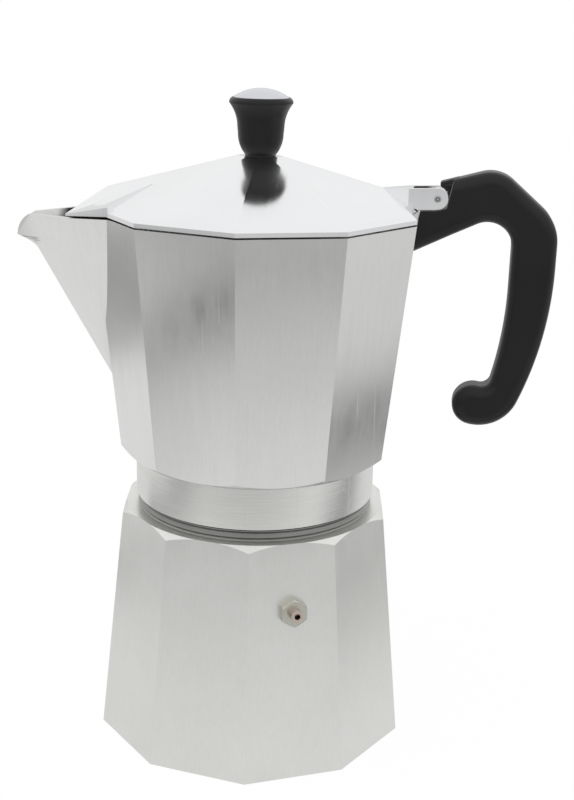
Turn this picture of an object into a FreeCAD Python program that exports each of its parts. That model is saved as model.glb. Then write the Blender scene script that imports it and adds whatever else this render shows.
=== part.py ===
import FreeCAD
import Part
import Sketcher
import math
import os
import re

# A ten-sided stove-top coffee pot: boiler, funnel, collector with spout, hinged lid, handle and safety valve.
# Frame: origin at the centre of the base, +Z up, handle towards +X, spout towards -X.
# Sizes are in millimetres and degrees.

doc = FreeCAD.newDocument("moka_pot")
dims = doc.addObject("Spreadsheet::Sheet", "dims")

SIZES = {
    "body": {
        "side_count": 10,
        "overlap": 1.0,
    },
    "boiler": {
        "neck_bore_radius": 37.0,
        "neck_wall": 3.0,
        "neck_height": 12.7,
        "neck_ring_inset": 0.6,
        "neck_ring_height": 3.7,
        "shoulder_width": 4.3,
        "shoulder_slope": 40.0,
        "shoulder_corner": 2.3,
        "shoulder_wall": 7.5,
        "shoulder_lining": 2.5,
        "boiler_flare": 9.1,
        "boiler_height": 88.3,
        "boiler_turn": 5.44,
        "boiler_wall": 3.2,
        "boiler_foot_wall": 3.6,
        "boiler_floor": 4.0,
    },
    "thread": {
        "thread_pitch": 4.0,
        "thread_depth": 1.0,
        "thread_turns": 1.4,
        "thread_crest": 0.8,
        "thread_root": 2.4,
        "thread_clearance": 0.4,
        "thread_start": 1.4,
        "thread_sink": 0.3,
        "thread_lead_in": 47.0,
    },
    "funnel": {
        "funnel_rim_inset": 0.6,
        "funnel_rim_thickness": 1.2,
        "basket_clearance": 0.6,
        "basket_wall": 1.0,
        "basket_depth": 26.0,
        "basket_ledge": 2.0,
        "ledge_height": 1.2,
        "cone_height": 10.0,
        "stem_radius": 6.5,
        "stem_wall": 1.0,
        "stem_floor_gap": 5.0,
    },
    "discs": {
        "sieve_clearance": 0.2,
        "sieve_thickness": 0.8,
        "plate_inset": 1.2,
        "plate_thickness": 0.8,
        "hole_radius": 0.8,
        "hole_ring_step": 5.2,
        "first_ring_holes": 6,
        "gasket_overhang": 0.7,
        "gasket_width": 8.2,
        "gasket_thickness": 3.5,
    },
    "collector": {
        "collar_wall": 2.5,
        "collar_gap": 0.4,
        "recess_clearance": 0.2,
        "chamber_inset": 0.5,
        "chamber_height": 2.5,
        "chamber_roof": 2.5,
        "jug_base_rise": 2.0,
        "jug_ledge": 2.1,
        "jug_chamfer_slope": 36.0,
        "jug_corner": 3.46,
        "jug_flare": 9.27,
        "jug_height": 88.9,
        "jug_wall": 2.5,
        "jug_foot_wall": 4.46,
    },
    "spout": {
        "spout_low_rise": 15.5,
        "spout_mid_rise": 14.0,
        "spout_flare_drop": 4.7,
        "spout_lip_drop": 11.7,
        "spout_rise": 1.6,
        "spout_low_sink": 0.53,
        "spout_mid_projection": 6.58,
        "spout_top_projection": 35.67,
        "spout_nose": 5.02,
        "spout_nose_share": 0.15,
        "spout_low_width": 12.0,
        "spout_mid_width": 16.3,
        "spout_top_width": 31.6,
        "spout_low_root": 2.03,
        "spout_mid_root": 0.72,
        "spout_top_root": 10.76,
        "spout_wall": 3.8,
        "spout_edge_drop": 2.4,
        "spout_brow_projection": 27.19,
        "spout_brow_drop": 3.4,
        "spout_brow_radius": 11.0,
        "spout_channel_depth": 9.53,
    },
    "column": {
        "column_foot_radius": 9.0,
        "column_top_radius": 7.0,
        "column_bore_radius": 3.5,
        "column_height": 58.0,
        "column_cap": 4.0,
        "column_slot_height": 4.0,
        "column_slot_width": 4.5,
    },
    "hinge": {
        "hinge_projection": 6.59,
        "hinge_rise": 7.7,
        "pin_radius": 1.2,
        "pin_clearance": 0.05,
        "pin_head": 0.25,
        "knuckle_radius": 3.5,
        "knuckle_width": 5.0,
        "cheek_gap": 0.3,
        "cheek_thickness": 2.1,
        "barrel_wall": 2.45,
        "tongue_inset": 1.61,
        "tongue_thickness": 1.5,
        "tongue_sink": 1.4,
        "tongue_low_turn": 61.0,
        "tongue_high_turn": 21.0,
    },
    "lid": {
        "lid_gap": 0.6,
        "lid_edge": 1.5,
        "lid_bevel_inset": 2.0,
        "lid_bevel_rise": 1.8,
        "lid_rise": 18.5,
        "lid_seat_drop": 2.3,
        "lid_wall": 1.7,
        "lid_crown": 2.0,
        "lid_seat_thickness": 3.2,
        "slot_run": 8.6,
        "lug_run": 19.9,
        "lug_point_run": 9.7,
        "lug_sink": 0.05,
        "ridge_overrun": 1.0,
    },
    "beak": {
        "beak_projection": 10.19,
        "beak_half_width": 16.5,
        "beak_drop": 1.4,
        "beak_tip_thickness": 0.8,
        "beak_root_run": 14.47,
        "beak_root_lift": 0.2,
        "beak_length": 20.31,
        "beak_back_lift": 0.07,
        "beak_peak_inset": 1.2,
    },
    "knob": {
        "knob_neck_radius": 5.5,
        "knob_neck_height": 0.4,
        "knob_shoulder_width": 2.6,
        "knob_shoulder_rise": 7.2,
        "knob_shoulder_radius": 11.5,
        "knob_stem_taper": 0.25,
        "knob_stem_rise": 2.7,
        "knob_flare_width": 3.0,
        "knob_flare_rise": 8.1,
        "knob_flare_radius": 13.5,
        "knob_lip_round": 1.2,
        "knob_lip_rise": 1.9,
        "cap_margin": 0.3,
        "cap_clearance": 0.05,
        "cap_recess": 1.2,
        "cap_dome": 3.1,
        "screw_radius": 1.95,
        "screw_clearance": 0.05,
        "screw_reach": 12.0,
        "screw_head_radius": 3.6,
        "screw_head_height": 2.0,
        "screw_slot_width": 0.9,
        "screw_slot_depth": 0.9,
        "washer_radius": 5.2,
        "washer_thickness": 0.8,
    },
    "handle": {
        "handle_width": 14.5,
        "handle_length": 42.6,
        "handle_front_gap": 1.95,
        "handle_notch_gap": 0.45,
        "handle_step_run": 7.0,
        "handle_step_drop": 1.5,
        "handle_crown_drop": 0.4,
        "handle_foot_drop": 11.4,
        "crest_run": 21.2,
        "crest_rise": 11.2,
        "crest_radius": 11.8,
        "handle_incline": 15.7,
        "handle_slope": 40.6,
        "corner_radius": 16.5,
        "back_drop": 23.1,
        "back_radius": 130.0,
        "back_turn": 22.5,
        "tail_radius": 15.5,
        "tail_turn": 78.7,
        "ball_radius": 7.5,
        "grip_depth": 15.7,
        "finger_corner_radius": 8.8,
        "finger_corner_drop": 16.4,
        "finger_straight": 14.7,
        "finger_back_radius": 140.0,
        "finger_end_radius": 3.5,
        "inner_round": 4.2,
        "tang_length": 9.0,
        "tang_width": 6.0,
        "tang_drop": 1.0,
        "tang_thickness": 4.0,
        "tang_clearance": 0.2,
        "grip_screw_setback": 2.4,
        "grip_screw_radius": 1.45,
        "grip_screw_head_radius": 2.6,
        "grip_screw_head_height": 1.6,
        "grip_screw_length": 6.2,
        "grip_screw_web": 0.6,
        "grip_screw_clearance": 0.05,
    },
    "valve": {
        "valve_facet": -66.56,
        "valve_height": 63.5,
        "valve_port_depth": 12.0,
        "valve_hex_flats": 9.0,
        "valve_hex_height": 3.2,
        "valve_hex_land": 0.1,
        "valve_hex_chamfer": 30.0,
        "valve_shank_radius": 3.5,
        "valve_shank_length": 6.0,
        "valve_inlet_radius": 1.0,
        "valve_inlet_length": 1.4,
        "valve_chamber_radius": 2.0,
        "valve_ball_gap": 0.3,
        "valve_seat_gap": 0.03,
        "bush_depth": 2.2,
        "bush_flange": 0.25,
        "bush_height": 2.8,
        "bush_bore_radius": 1.05,
        "spring_wire_radius": 0.22,
        "spring_radius": 1.3,
        "spring_turns": 3.0,
    },
}

# Names worked out from the sizes, so that pieces which meet share one value.
DERIVED = {
    "flat_turn": "180 / side_count",
    "neck_top": "boiler_height + neck_height",
    "neck_radius": "neck_bore_radius + neck_wall",
    "thread_minor": "neck_radius + thread_depth + thread_clearance",
    "collar_radius": "thread_minor + thread_depth + collar_wall",
    "collar_bottom": "boiler_height + neck_ring_height + collar_gap",
    "neck_ring_radius": "collar_radius - neck_ring_inset",
    "shoulder_radius": "neck_ring_radius + shoulder_width",
    "boiler_top_radius": "shoulder_radius + shoulder_corner",
    "boiler_foot_radius": "boiler_top_radius + boiler_flare",
    "boiler_lean": "boiler_flare / boiler_height",
    "funnel_top": "neck_top + funnel_rim_thickness",
    "basket_radius": "neck_bore_radius - basket_clearance",
    "basket_bore": "basket_radius - basket_wall",
    "basket_bottom": "funnel_top - basket_depth",
    "gasket_radius": "neck_radius + gasket_overhang",
    "gasket_bore": "gasket_radius - gasket_width",
    "gasket_top": "funnel_top + gasket_thickness",
    "plate_top": "gasket_top + plate_thickness",
    "chamber_top": "plate_top + chamber_height",
    "jug_floor": "chamber_top + chamber_roof",
    "jug_low": "plate_top + jug_base_rise",
    "jug_low_radius": "collar_radius + jug_ledge",
    "jug_bottom_radius": "jug_low_radius + jug_corner",
    "jug_rim": "jug_low + jug_height",
    "jug_rim_radius": "jug_bottom_radius + jug_flare",
    "jug_lean": "jug_flare / jug_height",
    "rim_facet": "jug_rim_radius * cos(flat_turn)",
    "spout_low": "jug_low + spout_low_rise",
    "spout_mid": "spout_low + spout_mid_rise",
    "spout_lip": "jug_rim - spout_lip_drop",
    "spout_flare": "spout_lip - spout_flare_drop",
    "spout_top": "jug_rim + spout_rise",
    "column_top": "jug_floor + column_height",
    "column_shoulder": "column_top - column_cap",
    "hinge_reach": "rim_facet + hinge_projection",
    "hinge_height": "jug_rim + hinge_rise",
    "barrel_radius": "pin_radius + barrel_wall",
    "slot_width": "knuckle_width + cheek_gap * 2",
    "lug_width": "slot_width + cheek_thickness * 2",
    "lid_bottom": "jug_rim + lid_gap",
    "lid_edge_top": "lid_bottom + lid_edge",
    "lid_bevel_top": "lid_edge_top + lid_bevel_rise",
    "lid_roof_radius": "jug_rim_radius - lid_bevel_inset",
    "lid_slope": "lid_rise / lid_roof_radius",
    "ridge_slope": "lid_slope * cos(flat_turn * 2) / cos(flat_turn)",
    "lid_apex": "lid_bevel_top + lid_rise",
    "lid_seat": "lid_apex - lid_seat_drop",
    "lid_inner_top": "lid_seat - lid_seat_thickness",
    "beak_back_reach": "rim_facet - beak_length",
    "beak_tip": "lid_bottom - beak_drop",
    "knob_waist_radius": "knob_neck_radius + knob_shoulder_width",
    "knob_stem_radius": "knob_waist_radius + knob_stem_taper",
    "knob_lip_radius": "knob_stem_radius + knob_flare_width",
    "knob_shoulder": "lid_seat + knob_neck_height",
    "knob_waist": "knob_shoulder + knob_shoulder_rise",
    "knob_stem": "knob_waist + knob_stem_rise",
    "knob_lip": "knob_stem + knob_flare_rise",
    "knob_top": "knob_lip + knob_lip_rise",
    "knob_lip_arc": "(pow(knob_lip_round; 2) + pow(knob_lip_rise; 2)) / knob_lip_round / 2",
    "cap_dome_arc": "(pow(cap_radius; 2) + pow(cap_dome; 2)) / cap_dome / 2",
    "cap_radius": "knob_lip_radius - knob_lip_round - cap_margin",
    "cap_seat": "knob_top - cap_recess",
    "screw_hole": "screw_radius + screw_clearance",
    "screw_top": "lid_seat + screw_reach",
    "screw_head_top": "lid_inner_top - washer_thickness",
    "screw_head_bottom": "screw_head_top - screw_head_height",
    "handle_reach": "hinge_reach + handle_length",
    "handle_front": "hinge_reach + barrel_radius + handle_front_gap",
    "handle_notch": "hinge_height - barrel_radius - handle_notch_gap",
    "handle_crown": "jug_rim - handle_crown_drop",
    "handle_foot": "jug_rim - handle_foot_drop",
    "back_start": "hinge_height - back_drop",
    "finger_reach": "handle_reach - grip_depth",
    "finger_corner": "hinge_height - finger_corner_drop",
    "finger_back_start": "finger_corner - finger_straight",
    "tang_bottom": "jug_rim - tang_drop - tang_thickness",
    "grip_screw_reach": "hinge_reach - grip_screw_setback",
    "grip_screw_seat": "tang_bottom - tang_clearance - grip_screw_web",
    "valve_hex_radius": "valve_hex_flats / 2",
    "valve_ball_radius": "valve_chamber_radius - valve_ball_gap",
    "bush_seat": "valve_hex_height - bush_depth",
}

ALIASES = {alias for values in SIZES.values() for alias in values}

# Levels of the nose below the spout's lip, as shares of its height.
NOSE_SHARES = (0.25, 0.5, 0.75, 1)


def fill_sheet():
    """Write every driving size into the sheet, one row each, with its alias."""
    row = 1
    for group, values in SIZES.items():
        dims.set(f"A{row}", group)
        row += 1
        for alias, number in values.items():
            dims.set(f"A{row}", alias)
            dims.set(f"B{row}", str(number))
            dims.setAlias(f"B{row}", alias)
            row += 1
    doc.recompute()


def written_out(formula, sheet=""):
    """A formula with its derived names written out, and the sheet's name before each alias."""
    def swap(match):
        word = match.group()
        if word in DERIVED:
            return f"({written_out(DERIVED[word], sheet)})"
        return sheet + word if word in ALIASES else word
    return re.sub(r"[a-z_]+", swap, formula)


def size(formula):
    """The number that a formula gives."""
    return float(dims.evalExpression(written_out(formula)))


def bind(item, **formulas):
    """Tie properties of an object to formulas of the sheet's sizes."""
    for name, formula in formulas.items():
        item.setExpression(name, written_out(formula, "dims."))


def place(item, x="0", y="0", z="0", yaw="0", pitch="0", roll="0"):
    """Tie an object's place and its turns about Z, Y and X to formulas."""
    bind(item, Placement=f"placement(vector({x}; {y}; {z}); rotation({yaw}; {pitch}; {roll}))")


def tie(sketch, constraint, name, formula):
    """Add a named constraint to a sketch and tie its value to a formula."""
    index = sketch.addConstraint(constraint)
    sketch.renameConstraint(index, name)
    sketch.setExpression(f"Constraints.{name}", written_out(formula, "dims."))


def add(kind, name, **formulas):
    """A new document object with its properties tied to formulas."""
    item = doc.addObject(kind, name)
    bind(item, **formulas)
    return item


def cylinder(name, radius, height, **spot):
    item = add("Part::Cylinder", name, Radius=radius, Height=height)
    place(item, **spot)
    return item


def box(name, length, width, height, **spot):
    item = add("Part::Box", name, Length=length, Width=width, Height=height)
    place(item, **spot)
    return item


def cut(name, base, *tools):
    item = doc.addObject("Part::Cut", name)
    item.Base = base
    item.Tool = tools[0] if len(tools) == 1 else fuse(name + "_tools", *tools)
    return item


def fuse(name, *shapes):
    item = doc.addObject("Part::MultiFuse", name)
    item.Shapes = list(shapes)
    return item


def common(name, *shapes):
    item = doc.addObject("Part::MultiCommon", name)
    item.Shapes = list(shapes)
    return item


def loft(name, *sections):
    """A solid with straight rulings between its sections."""
    item = doc.addObject("Part::Loft", name)
    item.Sections = list(sections)
    item.Solid = True
    item.Ruled = True
    return item


def faceted(name, turn, *rings):
    """A many-sided frustum through (corner radius, height) rings."""
    sections = []
    for number, (radius, height) in enumerate(rings):
        ring = add("Part::RegularPolygon", f"{name}_ring_{number}", Polygon="side_count", Circumradius=radius)
        place(ring, z=height, yaw=turn)
        sections.append(ring)
    return loft(name, *sections)


def draw(sketch, corners):
    """Draw a closed outline. A corner is (x, y), or (x, y, radius) where an arc leads to the next corner.

    A positive radius bends left of the way of travel, a negative one bends right. Every corner's place and
    every arc's radius is a named constraint tied to its formula.
    """
    points = [FreeCAD.Vector(size(corner[0]), size(corner[1]), 0) for corner in corners]
    ends = []
    for number, corner in enumerate(corners):
        start = points[number]
        finish = points[(number + 1) % len(points)]
        if len(corner) == 2:
            sketch.addGeometry(Part.LineSegment(start, finish), False)
            ends.append((1, 2))
        else:
            radius = size(corner[2])
            half = (finish - start) / 2
            left = FreeCAD.Vector(-half.y, half.x, 0).normalize()
            centre = start + half + left * math.copysign(math.sqrt(radius ** 2 - half.Length ** 2), radius)
            first, last = (start, finish) if radius > 0 else (finish, start)
            circle = Part.Circle(centre, FreeCAD.Vector(0, 0, 1), abs(radius))
            begin = math.atan2(first.y - centre.y, first.x - centre.x)
            stop = math.atan2(last.y - centre.y, last.x - centre.x)
            sketch.addGeometry(Part.ArcOfCircle(circle, begin, stop), False)
            ends.append((1, 2) if radius > 0 else (2, 1))
    for number, corner in enumerate(corners):
        after = (number + 1) % len(corners)
        joint = Sketcher.Constraint("Coincident", number, ends[number][1], after, ends[after][0])
        sketch.addConstraint(joint)
        for axis, kind in enumerate(("DistanceX", "DistanceY")):
            away = Sketcher.Constraint(kind, -1, 1, number, ends[number][0], points[number][axis])
            tie(sketch, away, f"corner_{number}_{'xy'[axis]}", corner[axis])
        if len(corner) == 3:
            bend = Sketcher.Constraint("Radius", number, abs(size(corner[2])))
            tie(sketch, bend, f"round_{number}", f"abs({corner[2]})")


def draw_circle(sketch, radius, away):
    """Draw a circle on the sketch's X axis, at a distance from its origin."""
    centre = FreeCAD.Vector(size(away), 0, 0)
    sketch.addGeometry(Part.Circle(centre, FreeCAD.Vector(0, 0, 1), size(radius)), False)
    sketch.addConstraint(Sketcher.Constraint("PointOnObject", 0, 3, -1))
    tie(sketch, Sketcher.Constraint("Radius", 0, size(radius)), "edge", radius)
    tie(sketch, Sketcher.Constraint("DistanceX", -1, 1, 0, 3, size(away)), "away", away)


def new_sketch(body, name, role):
    """An empty sketch on one of a body's own origin planes."""
    sketch = body.newObject("Sketcher::SketchObject", name)
    plane = next(item for item in body.Origin.OriginFeatures if item.Role == role)
    sketch.AttachmentSupport = (plane, "")
    sketch.MapMode = "FlatFace"
    return sketch


def turned(name, corners, **spot):
    """A body turned about Z from an outline of (radius, height) corners."""
    body = doc.addObject("PartDesign::Body", name)
    sketch = new_sketch(body, name + "_outline", "XZ_Plane")
    draw(sketch, corners)
    spin = body.newObject("PartDesign::Revolution", name + "_spin")
    spin.Profile = sketch
    spin.ReferenceAxis = (sketch, ["V_Axis"])
    spin.Angle = 360
    if spot:
        place(body, **spot)
    return body


def side_slab(name, width, corners):
    """A body padded to both sides of the pot's middle plane from an (x, z) outline."""
    body = doc.addObject("PartDesign::Body", name)
    sketch = new_sketch(body, name + "_outline", "XZ_Plane")
    draw(sketch, corners)
    pad = body.newObject("PartDesign::Pad", name + "_pad")
    pad.Profile = sketch
    pad.Midplane = True
    bind(pad, Length=width)
    return body


def level_outline(name, height, corners):
    """A flat outline at one height, for a loft."""
    sketch = doc.addObject("Sketcher::SketchObject", name)
    draw(sketch, corners)
    place(sketch, z=height)
    return sketch


def flat_sided(name, points, faces):
    """A solid with flat faces between numbered points, each a triple of formulas."""
    spots = [FreeCAD.Vector(*[size(part) for part in point]) for point in points]
    shells = []
    for face in faces:
        ring = [spots[number] for number in face]
        shells.append(Part.Face(Part.makePolygon(ring + ring[:1])))
    solid = Part.Solid(Part.Shell(shells))
    if solid.Volume < 0:
        solid.reverse()
    item = doc.addObject("Part::Feature", name)
    item.Shape = solid
    return item


def swept(name, section, helix):
    """A solid swept along a helix."""
    sweep = doc.addObject("Part::Sweep", name)
    sweep.Sections = [section]
    sweep.Spine = (helix, ["Edge1"])
    sweep.Solid = True
    sweep.Frenet = True
    return sweep


def thread_ridge(name, base_radius, crest_radius):
    """A helical ridge of trapezium section, from its base radius to its crest."""
    bottom = "collar_bottom + thread_start"
    helix = add("Part::Helix", name + "_helix", Pitch="thread_pitch", Height="thread_pitch * thread_turns",
                Radius=base_radius)
    place(helix, z=bottom)
    section = doc.addObject("Sketcher::SketchObject", name + "_section")
    draw(section, [
        (base_radius, "0 - thread_root / 2"),
        (crest_radius, "0 - thread_crest / 2"),
        (crest_radius, "thread_crest / 2"),
        (base_radius, "thread_root / 2"),
    ])
    place(section, z=bottom, roll="90")
    ridge = swept(name, section, helix)
    place(ridge, yaw="thread_lead_in")
    return ridge


def perforated(name, radius, bottom, thickness, hole_limit):
    """A round disc with a centre hole and rings of holes."""
    body = doc.addObject("PartDesign::Body", name)
    rim = new_sketch(body, name + "_rim", "XY_Plane")
    draw_circle(rim, radius, "0")
    disc = body.newObject("PartDesign::Pad", name + "_disc")
    disc.Profile = rim
    bind(disc, Length=thickness)
    doc.recompute()
    rings = int(size(f"floor(({hole_limit} - hole_radius) / hole_ring_step)"))
    for ring in range(rings + 1):
        spot = new_sketch(body, f"{name}_hole_{ring}", "XY_Plane")
        draw_circle(spot, "hole_radius", f"hole_ring_step * {ring}")
        pocket = body.newObject("PartDesign::Pocket", f"{name}_pocket_{ring}")
        pocket.Profile = spot
        pocket.Type = "ThroughAll"
        pocket.Reversed = True
        doc.recompute()
        if ring:
            pattern = body.newObject("PartDesign::PolarPattern", f"{name}_ring_{ring}")
            pattern.Originals = [pocket]
            axis = next(item for item in body.Origin.OriginFeatures if item.Role == "Z_Axis")
            pattern.Axis = (axis, [""])
            pattern.Angle = 360
            pattern.Occurrences = int(size("first_ring_holes")) * ring
            body.Tip = pattern
            doc.recompute()
    place(body, z=bottom)
    return body


def boiler_piece():
    """The boiler: a faceted shell with a turned shoulder, a threaded neck and a port for the valve."""
    shell = faceted("boiler_sides", "flat_turn + boiler_turn",
                    ("boiler_foot_radius", "0"), ("boiler_top_radius", "boiler_height"))
    shoulder = add("Part::Cone", "boiler_shoulder",
                   Radius1="shoulder_radius + boiler_height / tan(shoulder_slope)",
                   Radius2="shoulder_radius", Height="boiler_height")
    body = common("boiler_block", shell, shoulder)
    ring = cylinder("neck_ring", "neck_ring_radius", "neck_ring_height + overlap",
                    z="boiler_height - overlap")
    neck = cylinder("neck", "neck_radius", "neck_height + overlap", z="boiler_height - overlap")
    ridge = thread_ridge("neck_thread", "neck_radius - thread_sink", "neck_radius + thread_depth")
    cavity = turned("boiler_cavity", [
        ("0", "boiler_floor"),
        ("boiler_foot_radius * cos(flat_turn) - boiler_foot_wall", "boiler_floor"),
        ("boiler_top_radius * cos(flat_turn) - boiler_wall", "boiler_height - shoulder_wall"),
        ("neck_bore_radius", "boiler_height - shoulder_lining"),
        ("neck_bore_radius", "neck_top + overlap"),
        ("0", "neck_top + overlap"),
    ])
    port = add("Part::Cylinder", "valve_port", Radius="valve_shank_radius",
               Height="valve_port_depth + overlap")
    valve_axis(port, "0 - valve_port_depth")
    return cut("boiler", fuse("boiler_solid", body, ring, neck, ridge), cavity, port)


def valve_axis(item, along):
    """Place an object on the safety valve's axis, square to its facet, at a distance along it."""
    reach = "((boiler_foot_radius - valve_height * boiler_lean) * cos(flat_turn))"
    tilt = "atan(boiler_lean * cos(flat_turn))"
    out = f"({reach} + ({along}) * cos({tilt}))"
    place(item, x=f"{out} * cos(valve_facet)", y=f"{out} * sin(valve_facet)",
          z=f"valve_height + ({along}) * sin({tilt})", yaw="valve_facet", pitch=f"90 deg - {tilt}")


def valve_pieces():
    """The safety valve: a hexagon body in the boiler's wall, a ball on its seat, a spring and a bush."""
    hexagon = add("Part::Prism", "valve_hexagon", Circumradius="valve_hex_radius / cos(30)",
                  Height="valve_hex_height")
    hexagon.Polygon = 6
    chamfer = add("Part::Cone", "valve_hex_edge", Height="valve_hex_height",
                  Radius1="valve_hex_radius - valve_hex_land + valve_hex_height / tan(valve_hex_chamfer)",
                  Radius2="valve_hex_radius - valve_hex_land")
    shank = add("Part::Cylinder", "valve_shank", Radius="valve_shank_radius",
                Height="valve_shank_length + overlap")
    chamber = add("Part::Cylinder", "valve_chamber", Radius="valve_chamber_radius",
                  Height="valve_shank_length + valve_hex_height")
    inlet = add("Part::Cylinder", "valve_inlet", Radius="valve_inlet_radius", Height="valve_shank_length")
    for item, along in ((hexagon, "0"), (chamfer, "0"), (shank, "0 - valve_shank_length"),
                        (chamber, "valve_inlet_length - valve_shank_length"),
                        (inlet, "0 - valve_shank_length - overlap")):
        valve_axis(item, along)
    nut = common("valve_nut", hexagon, chamfer)
    body = cut("valve_body", fuse("valve_solid", nut, shank), chamber, inlet)

    bush = turned("valve_bush", [
        ("bush_bore_radius", "0"),
        ("valve_chamber_radius", "0"),
        ("valve_chamber_radius", "bush_depth"),
        ("valve_chamber_radius + bush_flange", "bush_depth"),
        ("valve_chamber_radius + bush_flange", "bush_depth + bush_height"),
        ("bush_bore_radius", "bush_depth + bush_height"),
    ])
    valve_axis(bush, "bush_seat")

    lift = "sqrt(pow(valve_ball_radius; 2) - pow(valve_inlet_radius; 2)) + valve_seat_gap"
    ball_place = f"(valve_inlet_length - valve_shank_length + {lift})"
    ball = add("Part::Sphere", "valve_ball", Radius="valve_ball_radius")
    valve_axis(ball, ball_place)

    touch = "valve_ball_radius + spring_wire_radius + valve_seat_gap"
    spring_low = f"({ball_place} + sqrt(pow({touch}; 2) - pow(spring_radius; 2)))"
    spring_high = "(bush_seat - spring_wire_radius - valve_seat_gap)"
    helix = add("Part::Helix", "spring_helix", Radius="spring_radius",
                Height=f"{spring_high} - {spring_low}",
                Pitch=f"({spring_high} - {spring_low}) / spring_turns")
    wire = doc.addObject("Sketcher::SketchObject", "spring_section")
    draw_circle(wire, "spring_wire_radius", "spring_radius")
    place(wire, roll="90")
    spring = swept("valve_spring", wire, helix)
    valve_axis(spring, spring_low)
    return body, bush, ball, spring


def funnel_piece():
    """The funnel: a basket with a rim that hangs on the neck, a cone and a stem."""
    ledge = "basket_bore - basket_ledge"
    stem_bottom = "boiler_floor + stem_floor_gap"
    return turned("funnel", [
        ("stem_radius - stem_wall", stem_bottom),
        ("stem_radius", stem_bottom),
        ("stem_radius", "basket_bottom - ledge_height - cone_height"),
        ("basket_radius", "basket_bottom - ledge_height - basket_wall"),
        ("basket_radius", "neck_top"),
        ("neck_radius - funnel_rim_inset", "neck_top"),
        ("neck_radius - funnel_rim_inset", "funnel_top"),
        ("basket_bore", "funnel_top"),
        ("basket_bore", "basket_bottom"),
        (ledge, "basket_bottom"),
        (ledge, "basket_bottom - ledge_height"),
        ("stem_radius - stem_wall", "basket_bottom - cone_height"),
    ])


def gasket_piece():
    return turned("gasket", [
        ("gasket_bore", "funnel_top"),
        ("gasket_radius", "funnel_top"),
        ("gasket_radius", "gasket_top"),
        ("gasket_bore", "gasket_top"),
    ])


def disc_pieces():
    """The sieve in the basket's floor and the filter plate above the gasket."""
    sieve = perforated("basket_sieve", "basket_bore - sieve_clearance", "basket_bottom", "sieve_thickness",
                       "basket_bore - basket_ledge")
    plate = perforated("filter_plate", "gasket_radius - plate_inset", "gasket_top", "plate_thickness",
                       "gasket_bore")
    return sieve, plate


def facet(height):
    """How far the middle of a collector facet stands from the axis at a height."""
    return f"((jug_bottom_radius + ({height} - jug_low) * jug_lean) * cos(flat_turn))"


def along_spout(low, high, height):
    """The value at a height of a line that runs from the spout's middle level to its top."""
    share = f"({height} - spout_mid) / (spout_top - spout_mid)"
    return f"({low} * (1 - {share}) + {high} * {share})"


def spout_reach(height):
    """How far the spout's straight front edge stands from the axis, above the middle level."""
    return along_spout(f"({facet('spout_mid')} + spout_mid_projection)",
                       f"({facet('spout_top')} + spout_top_projection)", height)


def spout_loft(name, shift, lowest):
    """The spout's wedge, from its low tip to above the rim, moved towards the axis by a shift.

    Its sides run straight to the top. Only the front edge is pushed out, into a nose below the lip.
    """
    mid_root = f"({facet('spout_mid')} - spout_mid_root)"
    top_root = f"({facet('spout_top')} - spout_top_root)"
    levels = [(lowest, "0", f"({facet('spout_low')} - spout_low_sink)",
               f"({facet('spout_low')} - spout_low_root)", "spout_low_width")]
    upper = [("spout_mid", "0"), ("spout_flare", "0")]
    for share in NOSE_SHARES:
        upper.append((f"(spout_flare + spout_flare_drop * {share})", f"spout_nose * pow({share}; 2)"))
    for height, nose in upper + [("spout_top", "spout_nose")]:
        levels.append((height, nose, spout_reach(height), along_spout(mid_root, top_root, height),
                       along_spout("spout_mid_width", "spout_top_width", height)))
    channel_root = f"{facet('spout_low')} - spout_channel_depth"
    sections = []
    for number, (height, nose, reach, root, half) in enumerate(levels):
        brink = f"{shift} - {reach} * (1 - spout_nose_share) - {root} * spout_nose_share"
        sections.append(level_outline(f"{name}_level_{number}", height, [
            (f"0 - ({channel_root})", f"0 - {half}"),
            (f"{shift} - {root}", f"0 - {half}"),
            (brink, f"0 - {half} * spout_nose_share"),
            (f"{shift} - {reach} - {nose}", "0"),
            (brink, f"{half} * spout_nose_share"),
            (f"{shift} - {root}", half),
            (f"0 - ({channel_root})", half),
        ]))
    return loft(name, *sections)


def spout_brow():
    """What is cut away above the spout's edge: a slope that ends in a round drop to the lip."""
    channel_root = f"0 - {facet('spout_low')} + spout_channel_depth"
    beyond = f"0 - {spout_reach('spout_top')} - spout_nose - overlap"
    return side_slab("spout_brow", "jug_rim_radius * 2", [
        (channel_root, "jug_rim"),
        (f"0 - {facet('spout_top')} + spout_top_root", "jug_rim"),
        ("0 - rim_facet - beak_projection", "jug_rim - spout_edge_drop"),
        ("0 - rim_facet - spout_brow_projection", "jug_rim - spout_brow_drop", "spout_brow_radius"),
        (f"0 - {spout_reach('spout_lip')} - spout_nose", "spout_lip"),
        (beyond, "spout_lip"),
        (beyond, "spout_top + overlap"),
        (channel_root, "spout_top + overlap"),
    ])


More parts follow.
